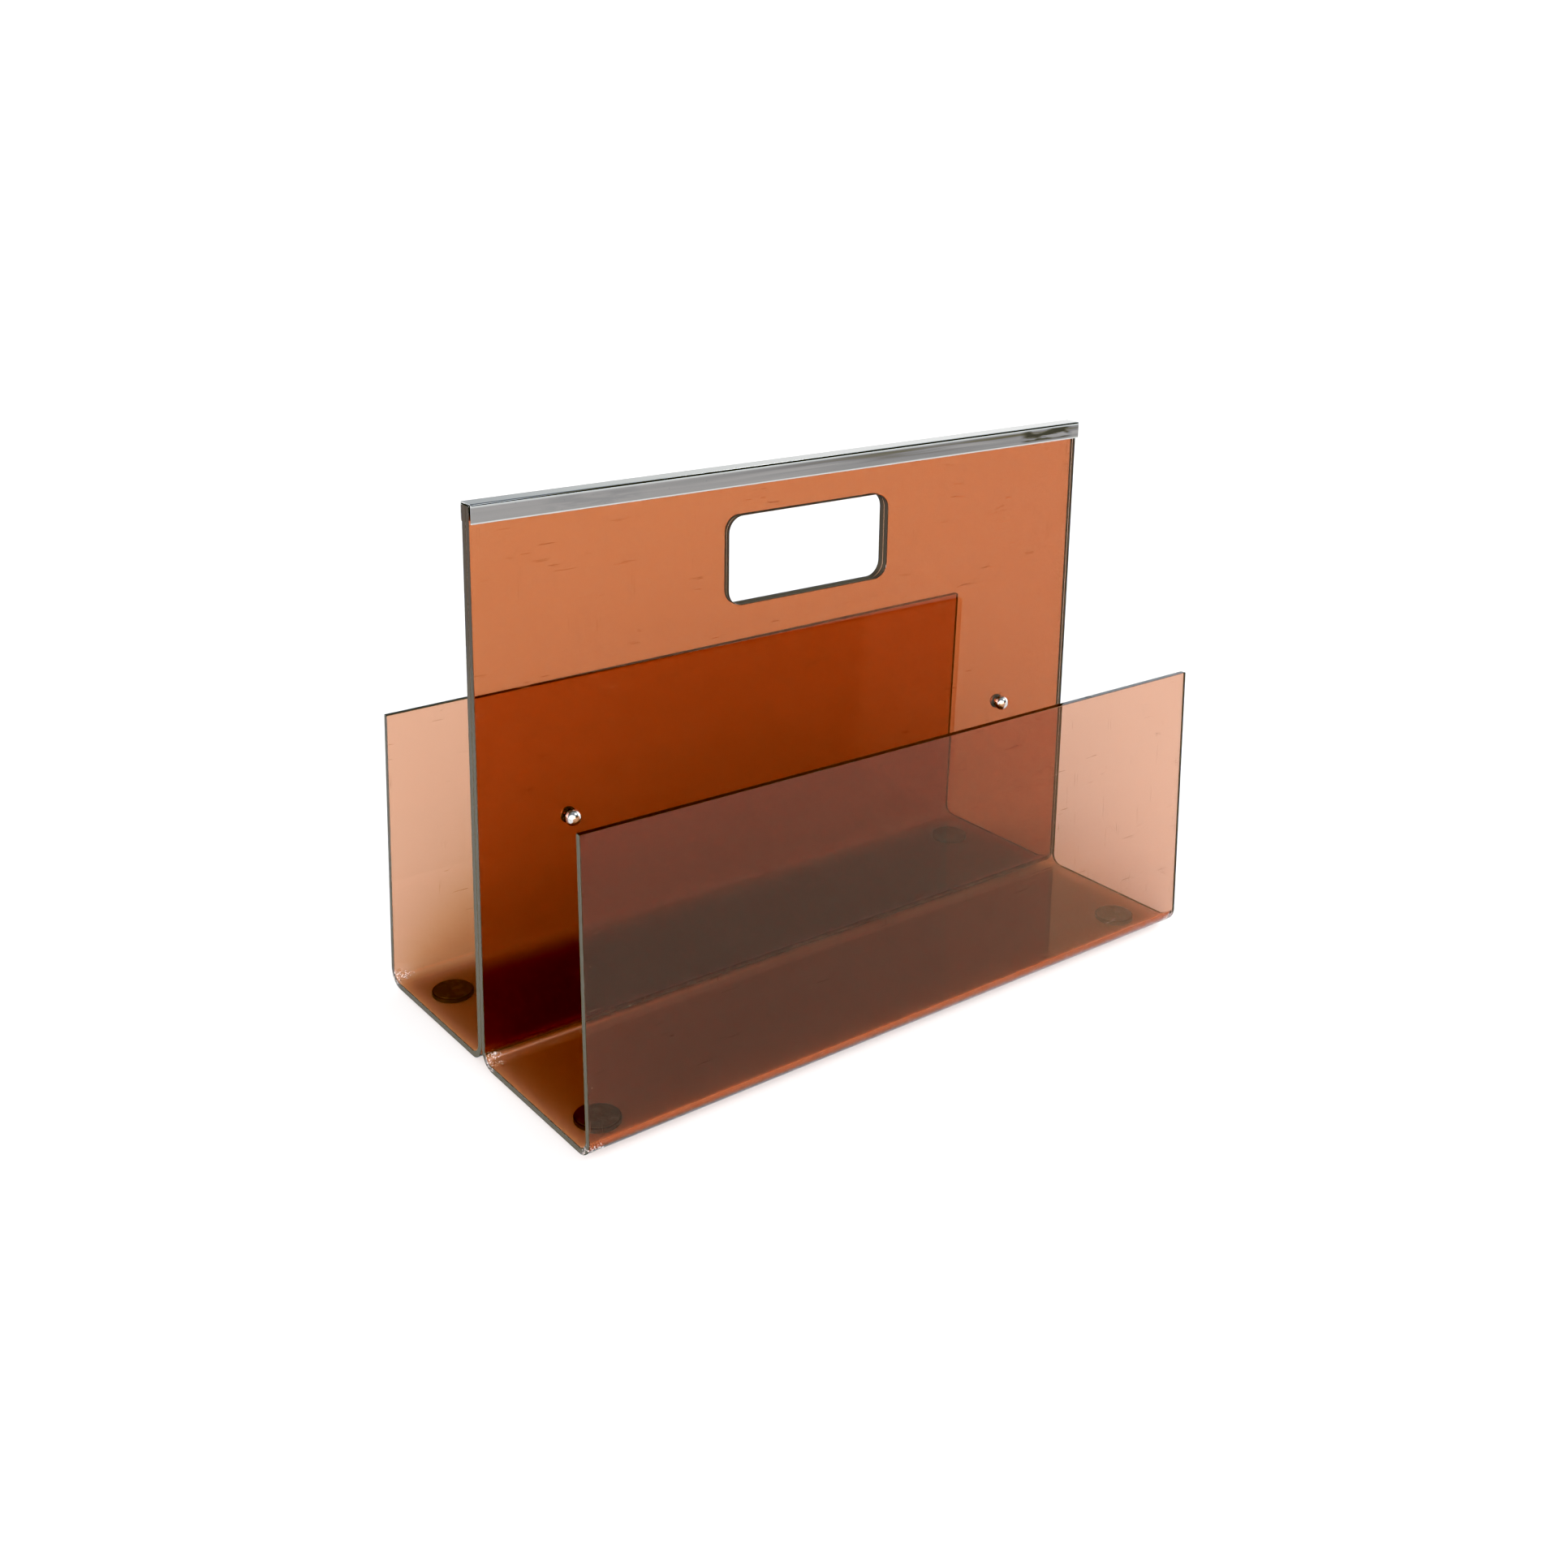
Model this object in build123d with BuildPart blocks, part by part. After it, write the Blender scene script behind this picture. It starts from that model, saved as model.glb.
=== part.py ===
from build123d import *
from math import cos, radians, sin, tan
import os

# Magazine rack: two bent acrylic trays fixed back to back, with a chrome channel over the tall walls.
# X runs along the length, -Y is the front, +Z is up. The origin is on the ground under the rack's middle.
# All sizes are in millimetres.

# Acrylic sheet and the two trays bent from it
sheet_thickness = 3.5
rack_length = 400.0
tall_wall_height = 285.0
outer_wall_height = 155.0
outer_wall_lean = 1.7  # degrees, towards the tall wall
tray_depth = 103.0  # from the tall wall's back face to the foot of the outer wall
wall_gap = 0.4
bend_inner_radius = 6.0
edge_break = 0.3

# Hand slot through both tall walls
slot_width = 107.0
slot_height = 47.5
slot_corner_radius = 8.5
slot_top_margin = 24.5

# Domed barrel nuts at the front, domed screws at the back
fastener_end_inset = 52.0
fastener_height = 120.0
head_overhang = 1.5
head_height = 4.0
head_rim_height = 0.5
barrel_diameter = 5.5
barrel_end_gap = 0.3
barrel_hole_clearance = 0.2
barrel_bore_floor = 0.5
screw_diameter = 4.0
screw_length = 6.2
thread_clearance = 0.05
driver_slot_width = 1.0
driver_slot_depth = 1.2

# Chrome channel over the tall walls, with a packing strip in its front gap
cap_sheet = 0.8
cap_height = 9.6
cap_outer_radius = 1.0
cap_inner_radius = 0.2
cap_back_clearance = 0.1
cap_seat_gap = 0.5
packing_thickness = 1.3
packing_end_inset = 1.0
packing_lift = 2.0

# Feet, each stuck on with an adhesive disc
foot_diameter = 22.0
foot_thickness = 2.5
foot_edge_break = 0.4
foot_end_inset = 21.5
foot_wall_inset = 29.5
adhesive_edge_margin = 0.5
adhesive_thickness = 0.5

# Levels and planes that follow from the sizes above
half_length = rack_length / 2
half_gap = wall_gap / 2
half_pair = half_gap + sheet_thickness
half_depth = half_gap + tray_depth
bend_outer_radius = bend_inner_radius + sheet_thickness
lean = radians(outer_wall_lean)
outer_wall_offset = outer_wall_height * tan(lean)
floor_underside = foot_thickness + adhesive_thickness
tall_wall_top = floor_underside + tall_wall_height
outer_wall_top = floor_underside + outer_wall_height
slot_level = tall_wall_top - slot_top_margin - slot_height / 2
fastener_level = floor_underside + fastener_height
fastener_x = half_length - fastener_end_inset
barrel_hole_radius = barrel_diameter / 2 + barrel_hole_clearance
head_diameter = barrel_diameter + 2 * head_overhang
adhesive_diameter = foot_diameter - 2 * adhesive_edge_margin
cap_top = tall_wall_top + cap_seat_gap + cap_sheet
cap_bottom = cap_top - cap_height
cap_inner_back = half_pair + cap_back_clearance
cap_inner_front = -(half_pair + packing_thickness)
foot_x = half_length - foot_end_inset
foot_y = half_depth - foot_wall_inset

FRONT = -1
BACK = 1
LEFT = -1
RIGHT = 1


def bent_tray(side):
    """One sheet bent into a tall wall, a floor and an outer wall, on the front or back side."""
    tall_back = side * half_gap
    tall_front = side * half_pair
    floor_top = floor_underside + sheet_thickness
    outer_foot = side * half_depth
    outer_top = side * (half_depth - outer_wall_offset)
    inner_foot = side * (half_depth - sheet_thickness / cos(lean) - sheet_thickness * tan(lean))
    inner_top = outer_top - side * sheet_thickness * cos(lean)
    inner_top_level = outer_wall_top - sheet_thickness * sin(lean)
    with BuildPart() as tray:
        with BuildSketch(Plane.YZ):
            with BuildLine():
                outside = FilletPolyline(
                    (tall_back, tall_wall_top),
                    (tall_back, floor_underside),
                    (outer_foot, floor_underside),
                    (outer_top, outer_wall_top),
                    radius=bend_outer_radius,
                )
                inside = FilletPolyline(
                    (tall_front, tall_wall_top),
                    (tall_front, floor_top),
                    (inner_foot, floor_top),
                    (inner_top, inner_top_level),
                    radius=bend_inner_radius,
                )
                Line(outside @ 0, inside @ 0)
                Line(outside @ 1, inside @ 1)
            make_face()
        extrude(amount=half_length, both=True)
        # The cut edges are broken all round: both ends, then the tops of the two walls
        chamfer(tray.faces().sort_by(Axis.X)[0].edges(), edge_break)
        chamfer(tray.faces().sort_by(Axis.X)[-1].edges(), edge_break)
        long_edges = tray.edges().filter_by(Axis.X)
        chamfer(long_edges.filter_by_position(Axis.Z, tall_wall_top - edge_break, tall_wall_top), edge_break)
        long_edges = tray.edges().filter_by(Axis.X)
        chamfer(long_edges.filter_by_position(Axis.Z, outer_wall_top - edge_break, outer_wall_top), edge_break)
        # Hand slot and the two barrel holes, cut through the tall wall only
        with BuildSketch(Plane.XZ):
            with Locations((0, slot_level)):
                RectangleRounded(slot_width, slot_height, slot_corner_radius)
            with Locations((-fastener_x, fastener_level), (fastener_x, fastener_level)):
                Circle(barrel_hole_radius)
        extrude(amount=-side * (half_pair + edge_break), mode=Mode.SUBTRACT)
    return tray


def dome_headed_pin(x, side, stem_diameter, stem_length):
    """A dome head seated on the wall's outer face, with a plain stem running back through the wall."""
    seat = side * half_pair
    rim = seat + side * head_rim_height
    tip = seat + side * head_height
    stem_end = seat - side * stem_length
    head_radius = head_diameter / 2
    stem_radius = stem_diameter / 2
    with BuildPart() as pin:
        with BuildSketch(Plane(origin=(x, 0, fastener_level))):
            with BuildLine():
                TangentArc((0, tip), (head_radius, rim), tangent=(1, 0))
                Polyline((head_radius, rim), (head_radius, seat), (stem_radius, seat))
                Polyline((stem_radius, seat), (stem_radius, stem_end), (0, stem_end), (0, tip))
            make_face()
        revolve(axis=Axis((x, 0, fastener_level), (0, 1, 0)))
    return pin


# Trays
front_tray = bent_tray(FRONT)
back_tray = bent_tray(BACK)

# Chrome channel, open below and at both ends
with BuildPart() as edge_cap:
    with BuildSketch(Plane.YZ):
        with BuildLine():
            cap_outside = FilletPolyline(
                (cap_inner_front - cap_sheet, cap_bottom),
                (cap_inner_front - cap_sheet, cap_top),
                (cap_inner_back + cap_sheet, cap_top),
                (cap_inner_back + cap_sheet, cap_bottom),
                radius=cap_outer_radius,
            )
            cap_inside = FilletPolyline(
                (cap_inner_front, cap_bottom),
                (cap_inner_front, cap_top - cap_sheet),
                (cap_inner_back, cap_top - cap_sheet),
                (cap_inner_back, cap_bottom),
                radius=cap_inner_radius,
            )
            Line(cap_outside @ 0, cap_inside @ 0)
            Line(cap_outside @ 1, cap_inside @ 1)
        make_face()
    extrude(amount=half_length, both=True)

# Strip that packs the gap between the channel's front flange and the front wall
packing_height = tall_wall_top - cap_bottom - packing_lift
with BuildPart() as cap_packing:
    with BuildSketch(Plane.YZ):
        with Locations((cap_inner_front, cap_bottom + packing_lift)):
            Rectangle(packing_thickness, packing_height, align=(Align.MIN, Align.MIN))
    extrude(amount=half_length - packing_end_inset, both=True)


def barrel_nut(x):
    """Dome-headed barrel nut, entered from the front and bored from its far end."""
    barrel_length = 2 * half_pair - barrel_end_gap
    barrel_end = barrel_length - half_pair
    with BuildPart() as nut:
        add(dome_headed_pin(x, FRONT, barrel_diameter, barrel_length).part)
        with BuildSketch(Plane.XZ.offset(-barrel_end)):
            with Locations((x, fastener_level)):
                Circle(screw_diameter / 2 + thread_clearance)
        extrude(amount=barrel_length - barrel_bore_floor, mode=Mode.SUBTRACT)
    return nut


def dome_screw(x):
    """Dome-headed screw with a driver slot, entered from the back into the barrel nut."""
    head_tip = half_pair + head_height
    with BuildPart() as screw:
        add(dome_headed_pin(x, BACK, screw_diameter, screw_length).part)
        with BuildSketch(Plane.XZ.offset(-head_tip)):
            with Locations((x, fastener_level)):
                Rectangle(head_diameter, driver_slot_width)
        extrude(amount=driver_slot_depth, mode=Mode.SUBTRACT)
    return screw


def foot(x, y):
    """Round foot pad standing on the ground, with its lower edge broken."""
    with BuildPart() as pad:
        with BuildSketch(Plane.XY):
            with Locations((x, y)):
                Circle(foot_diameter / 2)
        extrude(amount=foot_thickness)
        chamfer(pad.edges().group_by(Axis.Z)[0], foot_edge_break)
    return pad


def adhesive_disc(x, y):
    """Thin adhesive disc between a foot and the floor above it."""
    with BuildPart() as disc:
        with BuildSketch(Plane.XY.offset(foot_thickness)):
            with Locations((x, y)):
                Circle(adhesive_diameter / 2)
        extrude(amount=adhesive_thickness)
    return disc


pieces = {
    "front_tray": front_tray,
    "back_tray": back_tray,
    "edge_cap": edge_cap,
    "cap_packing": cap_packing,
}
for end_name, end in (("left", LEFT), ("right", RIGHT)):
    pieces[end_name + "_barrel_nut"] = barrel_nut(end * fastener_x)
    pieces[end_name + "_screw"] = dome_screw(end * fastener_x)
    for side_name, side in (("front", FRONT), ("back", BACK)):
        corner = side_name + "_" + end_name
        pieces[corner + "_foot"] = foot(end * foot_x, side * foot_y)
        pieces[corner + "_foot_adhesive"] = adhesive_disc(end * foot_x, side * foot_y)

os.makedirs("parts", exist_ok=True)
for node, piece in pieces.items():
    piece.part.label = node
    export_step(piece.part, "parts/" + node + ".step")
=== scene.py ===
import math

import bmesh
import bpy
from mathutils import Euler, Matrix, Vector, noise


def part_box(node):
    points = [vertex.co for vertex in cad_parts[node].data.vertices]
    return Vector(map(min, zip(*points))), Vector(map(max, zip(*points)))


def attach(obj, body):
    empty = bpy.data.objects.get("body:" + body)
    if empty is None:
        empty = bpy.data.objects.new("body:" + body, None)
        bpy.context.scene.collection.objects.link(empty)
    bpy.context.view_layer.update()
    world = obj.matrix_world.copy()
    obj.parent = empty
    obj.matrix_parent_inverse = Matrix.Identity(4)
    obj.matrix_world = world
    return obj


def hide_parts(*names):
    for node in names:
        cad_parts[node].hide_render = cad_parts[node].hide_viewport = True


# Magazine rack of smoked acrylic: two bent trays back to back under a chrome channel.
# Metres, in the frame's own axes: X along the length, -Y the front, +Z up, the ground at Z = 0.

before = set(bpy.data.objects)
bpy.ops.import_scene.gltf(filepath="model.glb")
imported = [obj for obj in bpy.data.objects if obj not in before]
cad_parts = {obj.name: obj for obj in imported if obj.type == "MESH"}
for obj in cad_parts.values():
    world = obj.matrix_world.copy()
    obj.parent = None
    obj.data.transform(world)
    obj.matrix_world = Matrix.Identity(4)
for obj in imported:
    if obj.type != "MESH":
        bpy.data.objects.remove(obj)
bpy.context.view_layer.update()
ROOT = "root"
FRONT, BACK = -1, 1  # the sides, by the sign of Y
MM = 0.001

# Sizes that the nodes' boxes give
tray_low, tray_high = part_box("front_tray")
packing_low, packing_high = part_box("cap_packing")
cap_low, cap_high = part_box("edge_cap")
HALF_LENGTH = tray_high.x
HALF_GAP = -tray_high.y
HALF_PAIR = -packing_high.y
SHEET = HALF_PAIR - HALF_GAP
FLOOR_UNDERSIDE = tray_low.z
TALL_TOP = tray_high.z

# Sizes that no box gives
OUTER_WALL_HEIGHT = 155 * MM
OUTER_WALL_LEAN = math.radians(1.7)
TRAY_DEPTH = 103 * MM
WALL_RISE = 2.6 * MM  # by which the outer wall is taller at one end
BEND_INNER_RADIUS = 6 * MM
BEND_OUTER_RADIUS = BEND_INNER_RADIUS + SHEET
BEND_STEPS = 20
ARRIS = 0.3 * MM
SLOT_WIDTH = 107 * MM
SLOT_HEIGHT = 47.5 * MM
SLOT_RADIUS = 8.5 * MM
SLOT_TOP_MARGIN = 24.5 * MM
BARREL_RADIUS = 2.75 * MM
HOLE_CLEARANCE = 0.2 * MM
CAP_SHEET = 0.8 * MM
CAP_OUTER_RADIUS = 1.0 * MM
CAP_INNER_RADIUS = 0.2 * MM
AIR = 0.02 * MM  # left between clear sheet and what touches it, so that the two faces don't coincide


# ---------------------------------------------------------------- mesh helpers

def rounded_path(points, radius, steps, closed=False):
    """The 2D polyline with each inner corner turned into an arc of that radius."""
    count = len(points)
    corners = range(count) if closed else range(1, count - 1)
    path = [] if closed else [Vector(points[0])]
    for i in corners:
        here = Vector(points[i])
        to_last = (Vector(points[i - 1]) - here).normalized()
        to_next = (Vector(points[(i + 1) % count]) - here).normalized()
        half = to_last.angle(to_next) / 2
        centre = here + (to_last + to_next).normalized() * radius / math.sin(half)
        start = here + to_last * radius / math.tan(half) - centre
        turn = start.angle_signed(here + to_next * radius / math.tan(half) - centre)
        for k in range(steps + 1):
            a = -turn * k / steps
            spin = Matrix.Rotation(a, 2)
            path.append(centre + spin @ start)
    return path if closed else path + [Vector(points[-1])]


def mesh_object(name, verts, faces):
    mesh = bpy.data.meshes.new(name)
    mesh.from_pydata([tuple(v) for v in verts], [], faces)
    mesh.validate()
    made = bpy.data.objects.new(name, mesh)
    bpy.context.scene.collection.objects.link(made)
    return made


def prism(name, outline, stations, place):
    """A closed bar: place turns a 2D outline point and a station into a 3D point."""
    count = len(outline)
    verts = [place(p, station) for station in stations for p in outline]
    faces = []
    for start in range(0, len(verts) - count, count):
        for i in range(count):
            after = (i + 1) % count
            faces.append((start + i, start + after, start + count + after, start + count + i))
    faces.append(tuple(reversed(range(count))))
    faces.append(tuple(range(len(verts) - count, len(verts))))
    made = mesh_object(name, verts, faces)
    outward(made)
    return made


def spread(low, high, count):
    """Evenly spaced stations, both ends included."""
    return [low + (high - low) * k / (count - 1) for k in range(count)]


def outward(obj):
    """Turns all faces outward."""
    work = bmesh.new()
    work.from_mesh(obj.data)
    bmesh.ops.recalc_face_normals(work, faces=work.faces)
    work.to_mesh(obj.data)
    work.free()


def apply_modifiers(obj):
    """Makes the modifiers' result the object's own mesh."""
    graph = bpy.context.evaluated_depsgraph_get()
    old = obj.data
    obj.data = bpy.data.meshes.new_from_object(obj.evaluated_get(graph))
    obj.modifiers.clear()
    bpy.data.meshes.remove(old)


def cut(obj, cutters):
    """Takes the closed cutters out of obj."""
    for cutter in cutters:
        modifier = obj.modifiers.new("cut", "BOOLEAN")
        modifier.operation = "DIFFERENCE"
        modifier.solver = "EXACT"
        modifier.object = cutter
    apply_modifiers(obj)
    for cutter in cutters:
        bpy.data.objects.remove(cutter)


def round_edges(obj, width, segments=3, angle=30):
    """Rounds each edge that is sharper than the angle, and shades the result smooth."""
    modifier = obj.modifiers.new("arris", "BEVEL")
    modifier.width = width
    modifier.segments = segments
    modifier.limit_method = "ANGLE"
    modifier.angle_limit = math.radians(angle)
    modifier.miter_outer = "MITER_ARC"
    apply_modifiers(obj)
    obj.data.shade_smooth()
    modifier = obj.modifiers.new("normals", "WEIGHTED_NORMAL")
    modifier.keep_sharp = True
    modifier.weight = 100
    apply_modifiers(obj)


def revolve(name, profile, axis_point, axis, segments=64):
    """Turns a profile of (radius, distance along the axis) about the axis through axis_point."""
    side = axis.orthogonal().normalized()
    other = axis.cross(side)
    rows = []
    verts = []
    for radius, along in profile:
        base = axis_point + axis * along
        if radius == 0:
            rows.append([len(verts)] * segments)
            verts.append(base)
            continue
        rows.append(list(range(len(verts), len(verts) + segments)))
        for k in range(segments):
            a = math.tau * k / segments
            verts.append(base + (side * math.cos(a) + other * math.sin(a)) * radius)
    faces = []
    for row, after in zip(rows, rows[1:]):
        for k in range(segments):
            ring = [row[k], row[(k + 1) % segments], after[(k + 1) % segments], after[k]]
            faces.append(tuple(dict.fromkeys(ring)))
    made = mesh_object(name, verts, faces)
    outward(made)
    return made


# ---------------------------------------------------------------- material helpers

def node(tree, kind, inputs=None, **settings):
    """Adds a node. inputs maps a socket's name or number to a value or to another node's output."""
    made = tree.nodes.new(kind)
    for name, value in settings.items():
        setattr(made, name, value)
    for key, value in (inputs or {}).items():
        if isinstance(value, bpy.types.NodeSocket):
            tree.links.new(value, made.inputs[key])
        else:
            made.inputs[key].default_value = value
    return made


def math_node(tree, operation, *values, clamp=False):
    inputs = dict(enumerate(values))
    return node(tree, "ShaderNodeMath", inputs, operation=operation, use_clamp=clamp).outputs[0]


def ramp(tree, value, low, high, out_low=0.0, out_high=1.0):
    """Maps value from low..high to out_low..out_high, smoothly and clamped."""
    made = node(
        tree,
        "ShaderNodeMapRange",
        {"Value": value, "From Min": low, "From Max": high, "To Min": out_low, "To Max": out_high},
        interpolation_type="SMOOTHSTEP",
    )
    return made.outputs["Result"]


def near(tree, value, centre, reach, fade):
    """1 within reach of the centre, fading to 0."""
    away = math_node(tree, "ABSOLUTE", math_node(tree, "SUBTRACT", value, centre))
    return ramp(tree, away, reach, reach + fade, 1.0, 0.0)


def product(tree, first, *others):
    for other in others:
        first = math_node(tree, "MULTIPLY", first, other)
    return first


def mix_colour(tree, factor, first, second):
    """Mixes two colours, each a triple or another node's output."""
    made = node(tree, "ShaderNodeMix", {"Factor": factor}, data_type="RGBA")
    # A Mix node's colour sockets come after its number and vector ones
    for socket, colour in ((made.inputs[6], first), (made.inputs[7], second)):
        if isinstance(colour, bpy.types.NodeSocket):
            tree.links.new(colour, socket)
        else:
            socket.default_value = (*colour, 1)
    return made.outputs[2]


def object_place(tree):
    return node(tree, "ShaderNodeTexCoord").outputs["Object"]


def split(tree, where):
    """The place's X, Y and Z."""
    return node(tree, "ShaderNodeSeparateXYZ", {0: where}).outputs


def stored(tree, name):
    """The number that the faces hold under that name."""
    return node(tree, "ShaderNodeAttribute", attribute_name=name, attribute_type="GEOMETRY").outputs["Fac"]


def cloud(tree, where, scale, detail):
    """Soft noise from 0 to 1."""
    made = node(tree, "ShaderNodeTexNoise", {"Vector": where, "Scale": scale, "Detail": detail})
    return made.outputs["Fac"]


def drawn_cloud(tree, where, scales, detail, turn=(0, 0, 0)):
    """Noise with its own scale along each axis, after a turn about them."""
    aimed = node(tree, "ShaderNodeMapping", {"Vector": where, "Rotation": turn, "Scale": scales})
    return cloud(tree, aimed.outputs[0], 1.0, detail)


def spots(tree, where, scale, size):
    """1 inside scattered round spots, 0 elsewhere. size is a share of the cell that a spot stands in."""
    cells = node(tree, "ShaderNodeTexVoronoi", {"Vector": where, "Scale": scale})
    return math_node(tree, "LESS_THAN", cells.outputs["Distance"], size)


def bump(tree, height, strength, distance, **below):
    """A normal that follows the height, laid over another where Normal is given."""
    inputs = {"Height": height, "Strength": strength, "Distance": distance, **below}
    return node(tree, "ShaderNodeBump", inputs).outputs[0]


def new_material(name):
    made = bpy.data.materials.new(name)
    made.use_nodes = True
    made.node_tree.nodes.clear()
    return made, made.node_tree


def finish_material(tree, surface, volume=None):
    out = node(tree, "ShaderNodeOutputMaterial", {"Surface": surface})
    if volume is not None:
        tree.links.new(volume, out.inputs["Volume"])


# ---------------------------------------------------------------- smoked acrylic

CLEARNESS = (0.695, 0.40, 0.27)  # share of red, green and blue light that comes through one sheet
ABSORPTION_DENSITY = 420.0
ACRYLIC_IOR = 1.49
ACRYLIC_GLOSS = 0.32
SAWN_DARK = (0.026, 0.021, 0.017)
SAWN_PALE = (0.075, 0.063, 0.051)
# Tone of the cut faces from the outer walls' height upward, darker than below
SAWN_UPPER_DARK = (0.028, 0.0178, 0.0175)
SAW_MARK_SCALE = 900.0
DUST = (0.65, 0.53, 0.48)
DUST_SCALE, DUST_SIZE = 150.0, 0.022
CRAZING_SCALE, CRAZING_SIZE = 1100.0, 0.3
MATT_ROUGHNESS = 0.55
SCRATCH_ROUGHNESS = 0.2
SCRATCH_WAYS = (  # turn in radians, noise scale along each axis
    (0.5, (2000.0, 40.0, 40.0)),
    (-0.4, (45.0, 45.0, 1700.0)),
)
SCRATCH_NONE, SCRATCH_FULL = 0.745, 0.775  # the noise's rare peaks
SCRATCH_DEPTH = 0.3 * MM
WAVE_SCALE = 9.0
WAVE_DEPTH = 4 * MM


def hairline_scratches(tree, where):
    """Scratches as noise drawn out a long way, in two directions."""
    ways = []
    for turn, scales in SCRATCH_WAYS:
        streaks = drawn_cloud(tree, where, scales, 2.0, (turn, turn * 0.7, turn))
        ways.append(ramp(tree, streaks, SCRATCH_NONE, SCRATCH_FULL))
    return math_node(tree, "MAXIMUM", *ways)


def sawn_colour(tree, where, z):
    """Saw marks on the cut faces, darker from the outer walls' height upward."""
    marked = mix_colour(tree, cloud(tree, where, SAW_MARK_SCALE, 4.0), SAWN_DARK, SAWN_PALE)
    upper = ramp(tree, z, OUTER_WALL_HEIGHT, TALL_TOP - 40 * MM)
    return mix_colour(tree, upper, marked, SAWN_UPPER_DARK)


def bend_ends(tree, x, y, z):
    """1 where a bend meets a cut end, fading to 0."""
    by_end = ramp(tree, math_node(tree, "ABSOLUTE", x), HALF_LENGTH - 11 * MM, HALF_LENGTH - 6 * MM)
    low = ramp(tree, z, FLOOR_UNDERSIDE + 5 * MM, FLOOR_UNDERSIDE + 11 * MM, 1.0, 0.0)
    outer = ramp(tree, math_node(tree, "ABSOLUTE", y), TRAY_DEPTH - 12 * MM, TRAY_DEPTH - 6 * MM)
    inner = near(tree, y, FRONT * (HALF_PAIR + 4 * MM), 3 * MM, 3 * MM)
    return product(tree, by_end, low, math_node(tree, "MAXIMUM", outer, inner))


def dust_and_crazing(tree, where, crazed):
    """Dust specks all over, giving way to fine crazing where the sheet is crazed."""
    dust_size = math_node(tree, "MULTIPLY_ADD", crazed, 10 * DUST_SIZE, DUST_SIZE)
    dust = spots(tree, where, DUST_SCALE, dust_size)
    dust = product(tree, dust, math_node(tree, "SUBTRACT", 1.0, crazed))
    crazing = spots(tree, where, CRAZING_SCALE, product(tree, crazed, CRAZING_SIZE))
    return math_node(tree, "MAXIMUM", dust, crazing)


def smoked_acrylic():
    """Clear sheet that takes light away inside it, with matt sawn faces, scratches and dust."""
    mat, tree = new_material("smoked_acrylic")
    where = object_place(tree)
    x, y, z = split(tree, where)
    sawn = stored(tree, "sawn")
    scratched = hairline_scratches(tree, where)
    specks = dust_and_crazing(tree, where, bend_ends(tree, x, y, z))
    matt = math_node(tree, "MAXIMUM", sawn, specks)
    colour = mix_colour(tree, sawn, (1, 1, 1), sawn_colour(tree, where, z))
    colour = mix_colour(tree, specks, colour, DUST)
    scratch_roughness = ramp(tree, scratched, 0, 1, 0.0, SCRATCH_ROUGHNESS)
    waves = bump(tree, cloud(tree, where, WAVE_SCALE, 1.0), 0.05, WAVE_DEPTH)
    surface = node(
        tree,
        "ShaderNodeBsdfPrincipled",
        {
            "Base Color": colour,
            "Roughness": math_node(tree, "MAXIMUM", scratch_roughness, product(tree, matt, MATT_ROUGHNESS)),
            "IOR": ACRYLIC_IOR,
            "Specular IOR Level": ACRYLIC_GLOSS,
            "Transmission Weight": math_node(tree, "SUBTRACT", 1.0, matt, clamp=True),
            "Normal": bump(tree, scratched, 0.5, SCRATCH_DEPTH, Normal=waves),
        },
    )
    loss = [-math.log(c) / SHEET for c in CLEARNESS]
    depth = node(
        tree,
        "ShaderNodeVolumeAbsorption",
        {"Color": (*[1 - s / ABSORPTION_DENSITY for s in loss], 1), "Density": ABSORPTION_DENSITY},
    )
    finish_material(tree, surface.outputs[0], depth.outputs[0])
    return mat


# ---------------------------------------------------------------- metals

# Behind the head (barrel and seat) the metal is rough, and its dark tone is painted shade under the head
UNDERHEAD_SHADE_TONE = (0.09, 0.07, 0.06)
DULL_ROUGHNESS = 0.6
SMUDGE_SCALE = 60.0
SMUDGE_DEPTH = 0.5 * MM
DOME_TONE = (0.62, 0.61, 0.6)
DOME_WORN_TONE = (0.4, 0.38, 0.36)
# Painted light on the channel's one chrome: a lit top, painted shade on the flanges and deeper painted
# shade in bands, a painted highlight on the rim
TOP_LIT_TONE = (0.46, 0.46, 0.455)
FLANGE_SHADED_TONE = (0.275, 0.25, 0.235)
FLANGE_DEEP_SHADE = (0.1, 0.088, 0.07)
RIM_HIGHLIGHT_TONE = (0.55, 0.55, 0.54)
TARNISH_TONE = (0.06, 0.055, 0.05)
# Painted dark reflection along the channel's front corner
CORNER_REFLECTION_TONE = (0.025, 0.022, 0.02)
LEFT_STREAK = 0.15  # the left streak's strength, of the right one's
PIT_SCALE, PIT_SIZE, PIT_STRENGTH = 260.0, 0.05, 0.6


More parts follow.
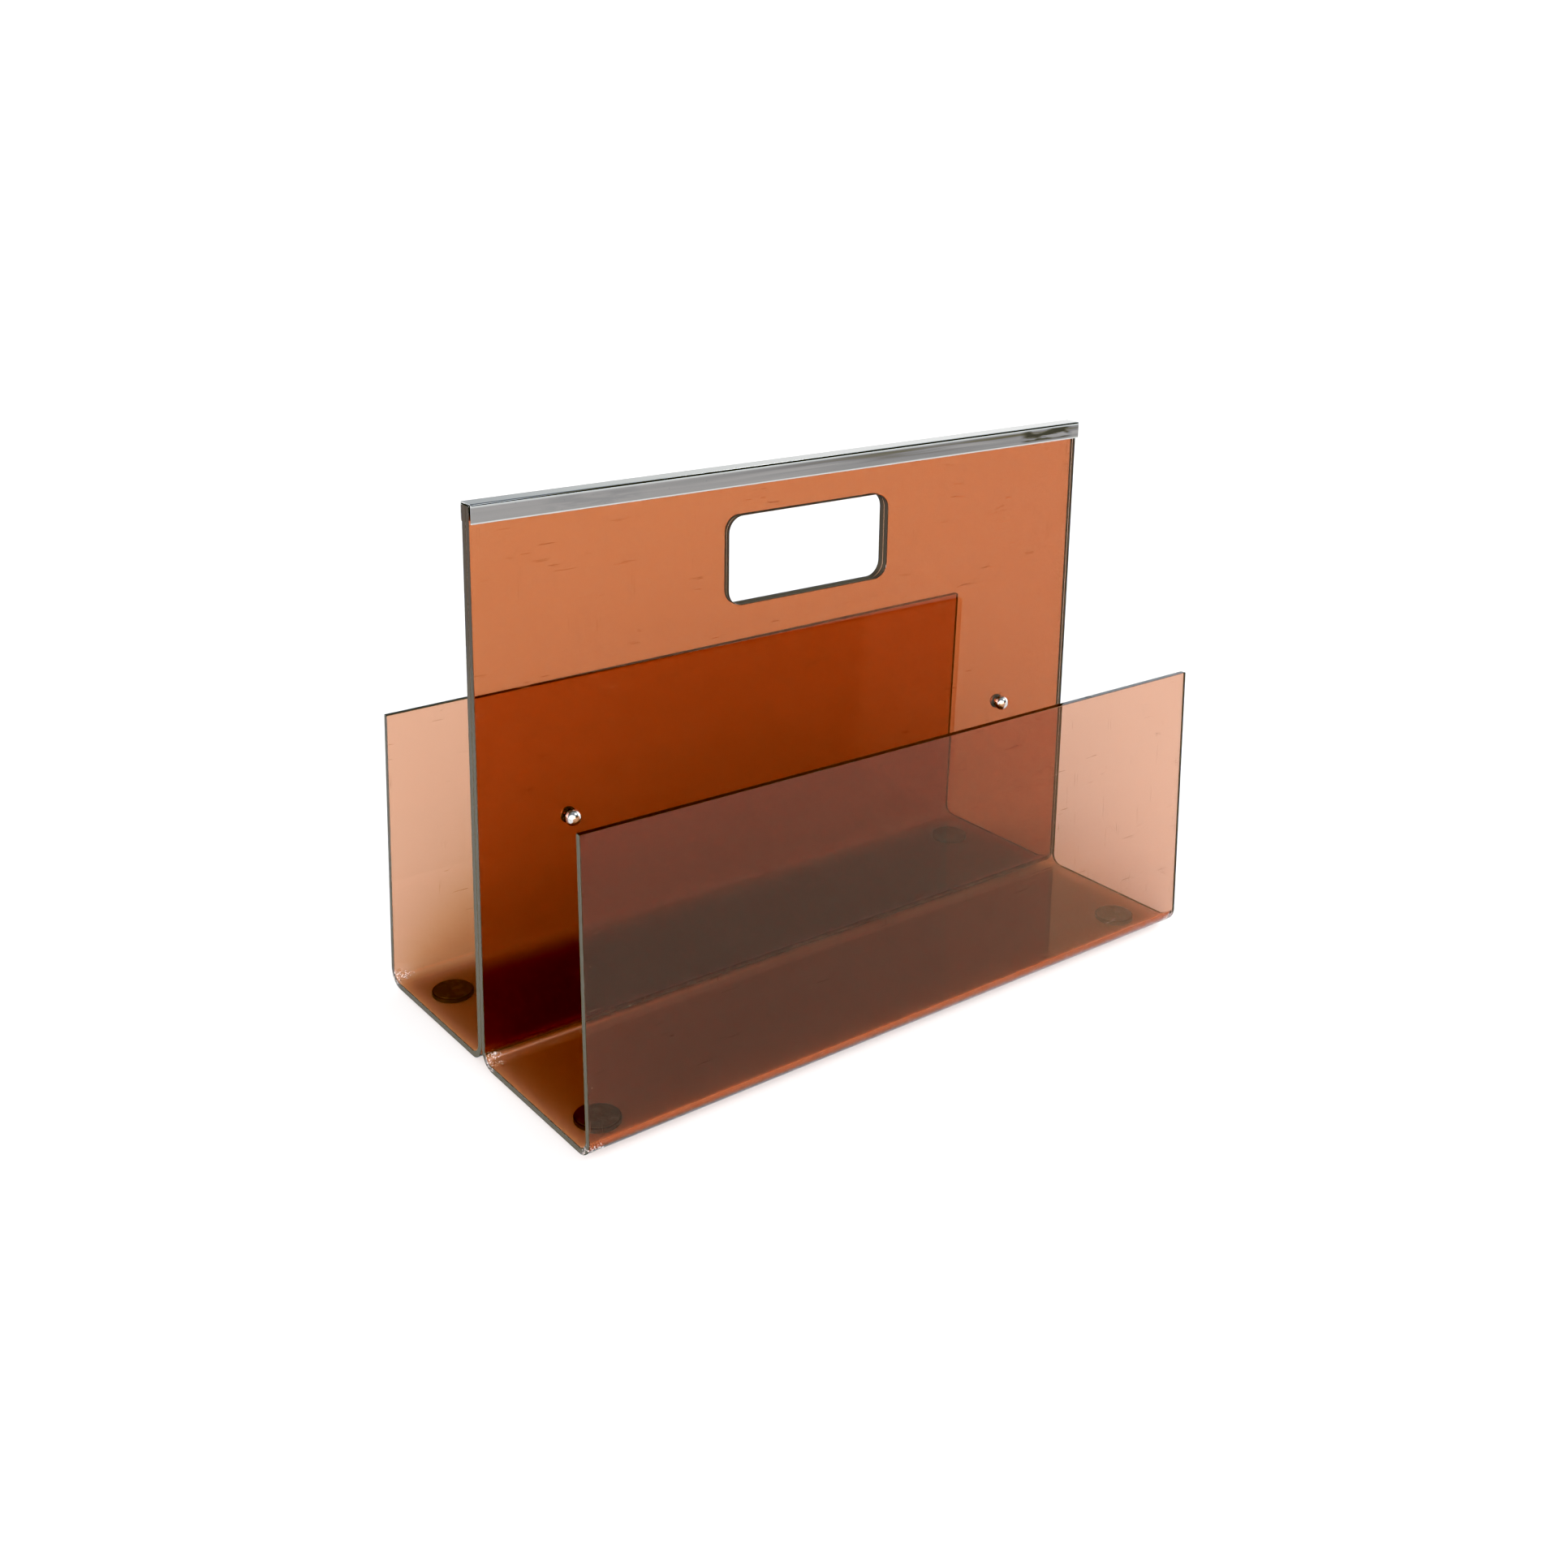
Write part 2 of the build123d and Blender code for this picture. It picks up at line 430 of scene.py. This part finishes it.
def metal(name, tone, roughness):
    """Polished metal with finger marks; where the faces are stored so, it is rough and darkened with
    painted shade. tone builds the colour.
    """
    mat, tree = new_material(name)
    where = object_place(tree)
    smudge = cloud(tree, where, SMUDGE_SCALE, 5.0)
    dull_and_shaded = stored(tree, "dull_and_shaded")
    rough = ramp(tree, smudge, 0.35, 0.7, roughness * 0.6, roughness * 1.8)
    surface = node(
        tree,
        "ShaderNodeBsdfPrincipled",
        {
            "Base Color": mix_colour(tree, dull_and_shaded, tone(tree, where), UNDERHEAD_SHADE_TONE),
            "Metallic": 1.0,
            "Roughness": math_node(tree, "MAXIMUM", rough, product(tree, dull_and_shaded, DULL_ROUGHNESS)),
            "Normal": bump(tree, smudge, 0.05, SMUDGE_DEPTH),
        },
    )
    finish_material(tree, surface.outputs[0])
    return mat


def polished(tree, where):
    """The domes' tone: bright plate with faint cloudy wear."""
    worn = ramp(tree, cloud(tree, where, 500.0, 4.0), 0.5, 0.75)
    return mix_colour(tree, worn, DOME_TONE, DOME_WORN_TONE)


def channel_streaks(tree, where, x, z):
    """A dark streak by the flanges' right end, a fainter one at their left, and faint pits all over."""
    right = near(tree, x, HALF_LENGTH - 27 * MM, 15 * MM, 8 * MM)
    left = near(tree, x, -HALF_LENGTH + 65 * MM, 18 * MM, 14 * MM)
    blotches = ramp(tree, drawn_cloud(tree, where, (60.0, 60.0, 500.0), 4.0), 0.38, 0.52)
    below_top = ramp(tree, z, cap_high.z - 2.2 * MM, cap_high.z - 1.2 * MM, 1.0, 0.0)
    above_rim = ramp(tree, z, cap_low.z + 1.0 * MM, cap_low.z + 2.5 * MM)
    streak = math_node(tree, "MAXIMUM", right, product(tree, left, LEFT_STREAK))
    streak = product(tree, streak, blotches, below_top, above_rim)
    pits = spots(tree, where, PIT_SCALE, PIT_SIZE)
    return math_node(tree, "MAXIMUM", streak, product(tree, pits, PIT_STRENGTH))


def painted_channel_light(tree, where, x, z):
    """Painted light on one chrome: a lighter top, flanges in painted shade that deepens towards the right
    and upward in bands, and a painted highlight along their lower rim.
    """
    bands = ramp(tree, drawn_cloud(tree, where, (7.0, 7.0, 420.0), 3.0), 0.36, 0.6)
    rightward = ramp(tree, x, -HALF_LENGTH * 0.7, HALF_LENGTH * 0.6, 0.1, 0.9)
    upward = ramp(tree, z, cap_low.z + 2.5 * MM, cap_low.z + 5 * MM, 0.35, 1.0)
    flange = mix_colour(tree, product(tree, rightward, bands, upward), FLANGE_SHADED_TONE, FLANGE_DEEP_SHADE)
    on_rim = ramp(tree, z, cap_low.z + 0.4 * MM, cap_low.z + 0.9 * MM, 1.0, 0.0)
    flange = mix_colour(tree, on_rim, flange, RIM_HIGHLIGHT_TONE)
    below_top = ramp(tree, z, cap_high.z - 2.2 * MM, cap_high.z - 1.2 * MM, 1.0, 0.0)
    return mix_colour(tree, below_top, TOP_LIT_TONE, flange)


def painted_corner_reflection(tree, x, y, z):
    """A painted dark reflection along the channel's front corner, fainter towards the left end."""
    in_front = math_node(tree, "LESS_THAN", y, 0.0)
    corner = near(tree, z, cap_high.z - CAP_OUTER_RADIUS * 0.6, 0.28 * MM, 0.12 * MM)
    rightward = ramp(tree, x, -HALF_LENGTH, -HALF_LENGTH * 0.6, 0.6, 1.0)
    return product(tree, corner, in_front, rightward)


def tarnish_and_painted_light(tree, where):
    """The channel's tone: the plate with its painted light, under real tarnish, with a painted dark
    reflection along its front corner.
    """
    x, y, z = split(tree, where)
    plate = painted_channel_light(tree, where, x, z)
    plate = mix_colour(tree, channel_streaks(tree, where, x, z), plate, TARNISH_TONE)
    return mix_colour(tree, painted_corner_reflection(tree, x, y, z), plate, CORNER_REFLECTION_TONE)


# ---------------------------------------------------------------- rubber

RUBBER_SHADE = (0.03, 0.022, 0.018)
PACKING_SHADE = (0.012, 0.012, 0.012)
ADHESIVE_SHADE = (0.17, 0.19, 0.18)


def rubber(name, shade, roughness, grain_scale=1500.0, grain_depth=0.2 * MM):
    """Moulded rubber: fine grain, with paler dusty patches."""
    mat, tree = new_material(name)
    where = object_place(tree)
    dusty = ramp(tree, cloud(tree, where, 160.0, 4.0), 0.45, 0.75, 0.0, 0.5)
    paler = [min(1.0, c * 2.5 + 0.02) for c in shade]
    grain = bump(tree, cloud(tree, where, grain_scale, 3.0), 0.4, grain_depth)
    surface = node(
        tree,
        "ShaderNodeBsdfPrincipled",
        {"Base Color": mix_colour(tree, dusty, shade, paler), "Roughness": roughness, "Normal": grain},
    )
    finish_material(tree, surface.outputs[0])
    return mat


# ---------------------------------------------------------------- trays

SLOT_STEPS = 12
HOLE_SIDES = 48
CUTTER_REACH = 1 * MM  # past the sheet


def install(piece, material, replaced):
    """Gives the piece its material and body, and hides the CAD node it stands for."""
    piece.data.materials.clear()
    piece.data.materials.append(material)
    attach(piece, ROOT)
    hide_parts(replaced)


def tray_outline(side, rise=0.0):
    """One tray's section in the YZ plane: along the outer faces from the tall wall, then back inside."""
    half_depth = HALF_GAP + TRAY_DEPTH
    outer_top_level = FLOOR_UNDERSIDE + OUTER_WALL_HEIGHT
    outer_top = half_depth - OUTER_WALL_HEIGHT * math.tan(OUTER_WALL_LEAN)
    outer_top -= rise * math.tan(OUTER_WALL_LEAN)
    outer_top_level += rise
    lean_cos, lean_sin = math.cos(OUTER_WALL_LEAN), math.sin(OUTER_WALL_LEAN)
    inner_foot = half_depth - SHEET / lean_cos - SHEET * lean_sin / lean_cos
    outside = [
        (side * HALF_GAP, TALL_TOP),
        (side * HALF_GAP, FLOOR_UNDERSIDE),
        (side * half_depth, FLOOR_UNDERSIDE),
        (side * outer_top, outer_top_level),
    ]
    inside = [
        (side * HALF_PAIR, TALL_TOP),
        (side * HALF_PAIR, FLOOR_UNDERSIDE + SHEET),
        (side * inner_foot, FLOOR_UNDERSIDE + SHEET),
        (side * (outer_top - SHEET * lean_cos), outer_top_level - SHEET * lean_sin),
    ]
    outer_path = rounded_path(outside, BEND_OUTER_RADIUS, BEND_STEPS)
    inner_path = rounded_path(inside, BEND_INNER_RADIUS, BEND_STEPS)
    return outer_path + inner_path[::-1]


def slot_cutter(side):
    level = TALL_TOP - SLOT_TOP_MARGIN - SLOT_HEIGHT / 2
    half_width, half_height = SLOT_WIDTH / 2, SLOT_HEIGHT / 2
    corners = [
        (-half_width, level - half_height),
        (half_width, level - half_height),
        (half_width, level + half_height),
        (-half_width, level + half_height),
    ]
    outline = rounded_path(corners, SLOT_RADIUS, SLOT_STEPS, closed=True)
    reach = side * (HALF_PAIR + CUTTER_REACH)
    return prism("slot_cutter", outline, (0, reach), lambda p, y: (p.x, y, p.y))


def hole_cutter(side, nut):
    low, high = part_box(nut)
    middle = Vector(((low.x + high.x) / 2, (low.z + high.z) / 2))
    radius = BARREL_RADIUS + HOLE_CLEARANCE
    angles = [math.tau * k / HOLE_SIDES for k in range(HOLE_SIDES)]
    outline = [middle + radius * Vector((math.cos(a), math.sin(a))) for a in angles]
    reach = side * (HALF_PAIR + CUTTER_REACH)
    return prism("hole_cutter", outline, (0, reach), lambda p, y: (p.x, y, p.y))


def mark_sawn(obj):
    """Stores which faces are sawn: the ends, the hand slot's edge, and their arrises in the gap."""
    flags = obj.data.attributes.new("sawn", "FLOAT", "FACE")
    slot_low = TALL_TOP - SLOT_TOP_MARGIN - SLOT_HEIGHT - 2 * ARRIS
    slot_high = TALL_TOP - SLOT_TOP_MARGIN + 2 * ARRIS
    # A normal's share along an axis tells a flat face from the rounded arris beside it
    for face in obj.data.polygons:
        x, y, z = abs(face.center.x), abs(face.center.y), face.center.z
        across = abs(face.normal.y)
        by_end = x > HALF_LENGTH - 1.05 * ARRIS
        by_slot = x < SLOT_WIDTH / 2 + 2 * ARRIS and slot_low < z < slot_high
        at_end = by_end and abs(face.normal.x) > 0.99
        in_slot = by_slot and across < 0.01 and HALF_GAP < y < HALF_PAIR
        in_gap = (by_end or by_slot) and across < 0.98 and y < HALF_GAP + 1.05 * ARRIS
        flags.data[face.index].value = float(at_end or in_slot or in_gap)


def make_tray(name, side):
    """One bent sheet, its outer wall a little out of square. The back sheet is the front one turned."""
    left = tray_outline(side, WALL_RISE if side == FRONT else 0.0)
    right = tray_outline(side, WALL_RISE if side == BACK else 0.0)
    ends = (-HALF_LENGTH, HALF_LENGTH)
    tray = prism(name, list(zip(left, right)), ends, lambda pair, x: (x, *pair[int(x > 0)]))
    holes = [hole_cutter(side, end + "_barrel_nut") for end in ("left", "right")]
    cut(tray, [slot_cutter(side)] + holes)
    round_edges(tray, ARRIS)
    mark_sawn(tray)
    return tray


acrylic = smoked_acrylic()
install(make_tray("front_tray_sheet", FRONT), acrylic, "front_tray")
install(make_tray("back_tray_sheet", BACK), acrylic, "back_tray")


# ---------------------------------------------------------------- edge channel and packing

CAP_OUTER_STEPS = 9
CAP_INNER_STEPS = 4
CHANNEL_STATIONS = 161
CHANNEL_ARRIS = 0.15 * MM
CHANNEL_WAVE = 0.1 * MM
WAVE_RATE = 32.0
PACKING_STATIONS = 81
PACKING_ARRIS = 0.2 * MM
PACKING_SAG = 0.2 * MM


def wave(x, lane):
    """Slow unevenness along the length, from 0 to 1, with its own course in each lane."""
    return 0.5 + 0.5 * noise.noise(Vector((x * WAVE_RATE, lane, 0.3)))


def channel_outline():
    outside = [
        (cap_low.y, cap_low.z),
        (cap_low.y, cap_high.z),
        (cap_high.y, cap_high.z),
        (cap_high.y, cap_low.z),
    ]
    inside = [
        (cap_low.y + CAP_SHEET, cap_low.z),
        (cap_low.y + CAP_SHEET, cap_high.z - CAP_SHEET),
        (cap_high.y - CAP_SHEET, cap_high.z - CAP_SHEET),
        (cap_high.y - CAP_SHEET, cap_low.z),
    ]
    outer_path = rounded_path(outside, CAP_OUTER_RADIUS, CAP_OUTER_STEPS)
    inner_path = rounded_path(inside, CAP_INNER_RADIUS, CAP_INNER_STEPS)
    return outer_path + inner_path[::-1]


def channel_point(p, x):
    """The rolled sheet isn't quite flat: its flanges spring outward a little, unevenly."""
    side = math.copysign(1, p.x)
    drop = (cap_high.z - p.y) / (cap_high.z - cap_low.z)
    return (x, p.x + side * CHANNEL_WAVE * drop * wave(x, 5.0 * side), p.y)


def make_channel():
    stations = spread(cap_low.x, cap_high.x, CHANNEL_STATIONS)
    channel = prism("edge_channel", channel_outline(), stations, channel_point)
    round_edges(channel, CHANNEL_ARRIS)
    return channel


def packing_point(p, x):
    """The strip's lower edge sags unevenly."""
    low_edge = p.y < (packing_low.z + packing_high.z) / 2
    return (x, p.x, p.y - (PACKING_SAG * wave(x, 11.0) if low_edge else 0))


def make_packing():
    near_y, far_y = packing_low.y + AIR, packing_high.y - AIR
    corners = [
        Vector((near_y, packing_low.z)),
        Vector((near_y, packing_high.z)),
        Vector((far_y, packing_high.z)),
        Vector((far_y, packing_low.z)),
    ]
    stations = spread(packing_low.x, packing_high.x, PACKING_STATIONS)
    strip = prism("packing_strip", corners, stations, packing_point)
    round_edges(strip, PACKING_ARRIS)
    return strip


channel_chrome = metal("channel_chrome", tarnish_and_painted_light, roughness=0.07)
packing_rubber = rubber("packing_rubber", PACKING_SHADE, roughness=0.35)
install(make_channel(), channel_chrome, "edge_cap")
install(make_packing(), packing_rubber, "cap_packing")


# ---------------------------------------------------------------- barrel nuts and screws

HEAD_HEIGHT = 4.0 * MM
HEAD_RIM = 0.5 * MM
BORE_RADIUS = 2.05 * MM
BORE_FLOOR = 0.5 * MM
SCREW_RADIUS = 2.0 * MM
THREAD_PITCH = 0.7 * MM
THREAD_DEPTH = 0.3 * MM
THREADS = 6
DRIVER_SLOT_WIDTH = 1.0 * MM
DRIVER_SLOT_DEPTH = 1.2 * MM
DOME_STEPS = 18
NUT_ARRIS = 0.08 * MM
SCREW_ARRIS = 0.05 * MM


def dome(radius):
    """Profile of the domed head down to its seat, as (radius, height above the seat)."""
    rise = HEAD_HEIGHT - HEAD_RIM
    ball = (radius**2 + rise**2) / (2 * rise)
    reach = math.asin(radius / ball)
    angles = [reach * k / DOME_STEPS for k in range(DOME_STEPS + 1)]
    profile = [(ball * math.sin(a), HEAD_HEIGHT - ball * (1 - math.cos(a))) for a in angles]
    return profile + [(radius, 0)]


def mark_dull_and_shaded(obj, seat):
    """Stores which faces are unpolished and darkened with painted shade: all that lies behind the head,
    from its seat on.
    """
    flags = obj.data.attributes.new("dull_and_shaded", "FLOAT", "FACE")
    for face in obj.data.polygons:
        flags.data[face.index].value = float(abs(face.center.y) < abs(seat.y) + 0.01 * MM)


def make_nut(name, node_name):
    low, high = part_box(node_name)
    centre = (low + high) / 2
    seat = Vector((centre.x, -HALF_PAIR - AIR, centre.z))
    barrel_end = seat.y - high.y
    profile = dome((high.x - low.x) / 2) + [
        (BARREL_RADIUS, 0),
        (BARREL_RADIUS, barrel_end),
        (BORE_RADIUS, barrel_end),
        (BORE_RADIUS, -BORE_FLOOR),
        (0, -BORE_FLOOR),
    ]
    nut = revolve(name, profile, seat, Vector((0, -1, 0)))
    round_edges(nut, NUT_ARRIS)
    mark_dull_and_shaded(nut, seat)
    return nut


def make_screw(name, node_name):
    low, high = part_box(node_name)
    centre = (low + high) / 2
    seat = Vector((centre.x, HALF_PAIR + AIR, centre.z))
    tip = low.y - seat.y
    thread = []
    for k in range(THREADS):
        crest = tip + THREAD_DEPTH + (THREADS - 1 - k) * THREAD_PITCH
        thread += [(SCREW_RADIUS, crest + THREAD_PITCH / 2), (SCREW_RADIUS - THREAD_DEPTH, crest)]
    profile = dome((high.x - low.x) / 2) + [(SCREW_RADIUS, 0)] + thread
    profile += [(SCREW_RADIUS - THREAD_DEPTH, tip), (0, tip)]
    screw = revolve(name, profile, seat, Vector((0, 1, 0)))
    half_width, reach = DRIVER_SLOT_WIDTH / 2, high.x - low.x
    corners = [
        Vector((centre.x + x * reach, centre.z + z * half_width))
        for x, z in ((-1, -1), (1, -1), (1, 1), (-1, 1))
    ]
    bottom = seat.y + HEAD_HEIGHT - DRIVER_SLOT_DEPTH
    cut(screw, [prism("driver_slot", corners, (bottom, bottom + reach), lambda p, y: (p.x, y, p.y))])
    round_edges(screw, SCREW_ARRIS, segments=2)
    mark_dull_and_shaded(screw, seat)
    return screw


hardware = metal("dome_chrome", polished, roughness=0.04)
for end in ("left", "right"):
    nut_node, screw_node = end + "_barrel_nut", end + "_screw"
    install(make_nut(end + "_dome_nut", nut_node), hardware, nut_node)
    install(make_screw(end + "_dome_screw", screw_node), hardware, screw_node)


# ---------------------------------------------------------------- feet and their adhesive

FOOT_EDGE = 0.4 * MM
FOOT_HOLLOW = 0.2 * MM
FOOT_LIP = 1.6 * MM
FOOT_SIDES = 96
FOOT_ARRIS = 0.2 * MM
ADHESIVE_RINGS = 30
ADHESIVE_SIDES = 120
ADHESIVE_ARRIS = 0.06 * MM
ADHESIVE_DIMPLE = 0.14 * MM
ADHESIVE_RAGGED = 0.02
DIMPLE_RATE = 420.0
RAGGED_RATE = 90.0


def make_foot(name, node_name):
    low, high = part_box(node_name)
    centre = (low + high) / 2
    radius, height = (high.x - low.x) / 2, high.z - low.z
    profile = [
        (0, FOOT_HOLLOW),
        (radius - FOOT_LIP * 2, FOOT_HOLLOW),
        (radius - FOOT_LIP, 0),
        (radius - FOOT_EDGE, 0),
        (radius, FOOT_EDGE),
        (radius, height),
        (0, height),
    ]
    base = Vector((centre.x, centre.y, low.z))
    foot = revolve(name, profile, base, Vector((0, 0, 1)), FOOT_SIDES)
    round_edges(foot, FOOT_ARRIS)
    return foot


def make_adhesive(name, node_name):
    """A disc pressed unevenly against the floor above it, with a ragged rim."""
    low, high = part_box(node_name)
    centre = (low + high) / 2
    radius, top = (high.x - low.x) / 2, high.z - low.z - AIR
    profile = [(radius * k / ADHESIVE_RINGS, top) for k in range(ADHESIVE_RINGS + 1)]
    profile += [(radius, AIR), (0, AIR)]
    base = Vector((centre.x, centre.y, low.z))
    disc = revolve(name, profile, base, Vector((0, 0, 1)), ADHESIVE_SIDES)
    for vert in disc.data.vertices:
        out = Vector((vert.co.x - centre.x, vert.co.y - centre.y, 0))
        if vert.co.z > centre.z and out.length < radius * 0.99:
            ridge = abs(noise.noise(vert.co * DIMPLE_RATE))
            vert.co.z -= ADHESIVE_DIMPLE * min(1.0, 3 * ridge)
        vert.co -= out * ADHESIVE_RAGGED * (1 + noise.noise(vert.co * RAGGED_RATE))
    disc.data.shade_smooth()
    round_edges(disc, ADHESIVE_ARRIS, segments=2, angle=50)
    return disc


foot_rubber = rubber("foot_rubber", RUBBER_SHADE, roughness=0.7)
adhesive = rubber(
    "foot_adhesive", ADHESIVE_SHADE, roughness=0.12, grain_scale=700.0, grain_depth=0.12 * MM
)
for end in ("left", "right"):
    for side in ("front", "back"):
        corner = side + "_" + end
        foot_node, adhesive_node = corner + "_foot", corner + "_foot_adhesive"
        install(make_foot(corner + "_pad", foot_node), foot_rubber, foot_node)
        install(make_adhesive(corner + "_tape", adhesive_node), adhesive, adhesive_node)


# ---------------------------------------------------------------- camera

CAMERA_PLACE = (-0.55194, -0.69762, 0.46526)
CAMERA_HEADING = math.radians(38.36104)  # from +Y towards +X
CAMERA_DIP = math.radians(13.80053)  # below the horizon
CAMERA_ROLL = math.radians(1.04558)

lens = bpy.data.cameras.new("camera")
lens.sensor_width = 36.0
lens.lens = 39.436
lens.shift_x = -0.014986
lens.shift_y = -0.159267
camera = bpy.data.objects.new("camera", lens)
bpy.context.scene.collection.objects.link(camera)
unrolled = Euler((math.pi / 2 - CAMERA_DIP, 0, -CAMERA_HEADING)).to_matrix()
turn = unrolled @ Matrix.Rotation(CAMERA_ROLL, 3, "Z")
camera.matrix_world = Matrix.Translation(CAMERA_PLACE) @ turn.to_4x4()
bpy.context.scene.camera = camera


# ---------------------------------------------------------------- floor and light

FLOOR_REACH = 30.0
FLOOR_DROP = 0.05 * MM  # so that the feet's undersides don't lie in the floor's own plane
PAPER_TONE = (0.9, 0.9, 0.9)
PAPER_ROUGHNESS = 0.9


def white_paper():
    mat, tree = new_material("white_paper")
    surface = node(
        tree, "ShaderNodeBsdfPrincipled", {"Base Color": (*PAPER_TONE, 1), "Roughness": PAPER_ROUGHNESS}
    )
    finish_material(tree, surface.outputs[0])
    return mat


SQUARE = ((-1, -1), (1, -1), (1, 1), (-1, 1))
floor_corners = [(x * FLOOR_REACH, y * FLOOR_REACH, -FLOOR_DROP) for x, y in SQUARE]
floor = mesh_object("floor", floor_corners, [(0, 1, 2, 3)])
floor.data.materials.append(white_paper())

# The studio's soft lights: azimuth from the front towards the right, elevation, tightness, strength
SOFT_LIGHTS = (
    (315, 8, 12, 20.5),  # key, low at the front left
    (340, 8, 12, 8.3),  # the key's softer side
    (90, 10, 8, 4.0),  # fill from the right
    (225, 12, 8, 2.3),  # faint light from behind on the left
    (0, 90, 4, 0.5),  # dim ceiling
    (140, 12, 18, 1.0),  # white backdrop
    (123, 46, 700, 14.0),  # small lamp high at the right and a little behind, for the glints
    (38, 49, 60, 5.0),  # soft lamp high at the front right, which the bends mirror
)
HORIZON_STRENGTH = 1.08
HORIZON_FULL, HORIZON_NONE = math.sin(math.radians(4.5)), math.sin(math.radians(8))


def studio_world():
    """Soft lights painted on the sky, round a white band at the horizon where the floor ends."""
    world = bpy.data.worlds.new("studio")
    world.use_nodes = True
    sky = world.node_tree
    sky.nodes.clear()
    toward = node(sky, "ShaderNodeTexCoord").outputs["Generated"]
    height = node(sky, "ShaderNodeSeparateXYZ", {0: toward}).outputs["Z"]
    level = math_node(sky, "ABSOLUTE", height)
    total = ramp(sky, level, HORIZON_FULL, HORIZON_NONE, HORIZON_STRENGTH, 0.0)
    for azimuth, elevation, tightness, strength in SOFT_LIGHTS:
        a, e = math.radians(azimuth), math.radians(elevation)
        aim = (math.sin(a) * math.cos(e), -math.cos(a) * math.cos(e), math.sin(e))
        facing = node(sky, "ShaderNodeVectorMath", {0: toward, 1: aim}, operation="DOT_PRODUCT")
        facing = math_node(sky, "MAXIMUM", facing.outputs["Value"], 0.0)
        lobe = math_node(sky, "POWER", facing, float(tightness))
        total = math_node(sky, "MULTIPLY_ADD", lobe, strength, total)
    glow = node(sky, "ShaderNodeBackground", {"Color": (1, 1, 1, 1), "Strength": total})
    node(sky, "ShaderNodeOutputWorld", {"Surface": glow.outputs[0]})
    bpy.context.scene.world = world


studio_world()

# The print: deep blacks, a little contrast, and curves of (from, to) that warm the shadows
BLACK_LEVEL = 0.01
PRINT_GAMMA = 0.91
RED_CURVE = ((0.06, 0.052), (0.25, 0.25), (0.4, 0.43))
GREEN_CURVE = ((0.04, 0.036), (0.15, 0.15), (0.35, 0.4))
BLUE_CURVE = ((0.01, 0.002), (0.045, 0.032), (0.1, 0.075), (0.24, 0.29), (0.6, 0.65))
scene = bpy.context.scene
scene.view_settings.view_transform = "Standard"
scene.view_settings.gamma = PRINT_GAMMA
scene.view_settings.use_curve_mapping = True
scene.view_settings.curve_mapping.black_level = (BLACK_LEVEL, BLACK_LEVEL, BLACK_LEVEL)
for channel, points in enumerate((RED_CURVE, GREEN_CURVE, BLUE_CURVE)):
    for x, y in points:
        scene.view_settings.curve_mapping.curves[channel].points.new(x, y)
scene.view_settings.curve_mapping.update()
scene.cycles.max_bounces = 32
scene.cycles.transmission_bounces = 32
scene.cycles.glossy_bounces = 12
scene.cycles.diffuse_bounces = 4
scene.cycles.use_denoising = True
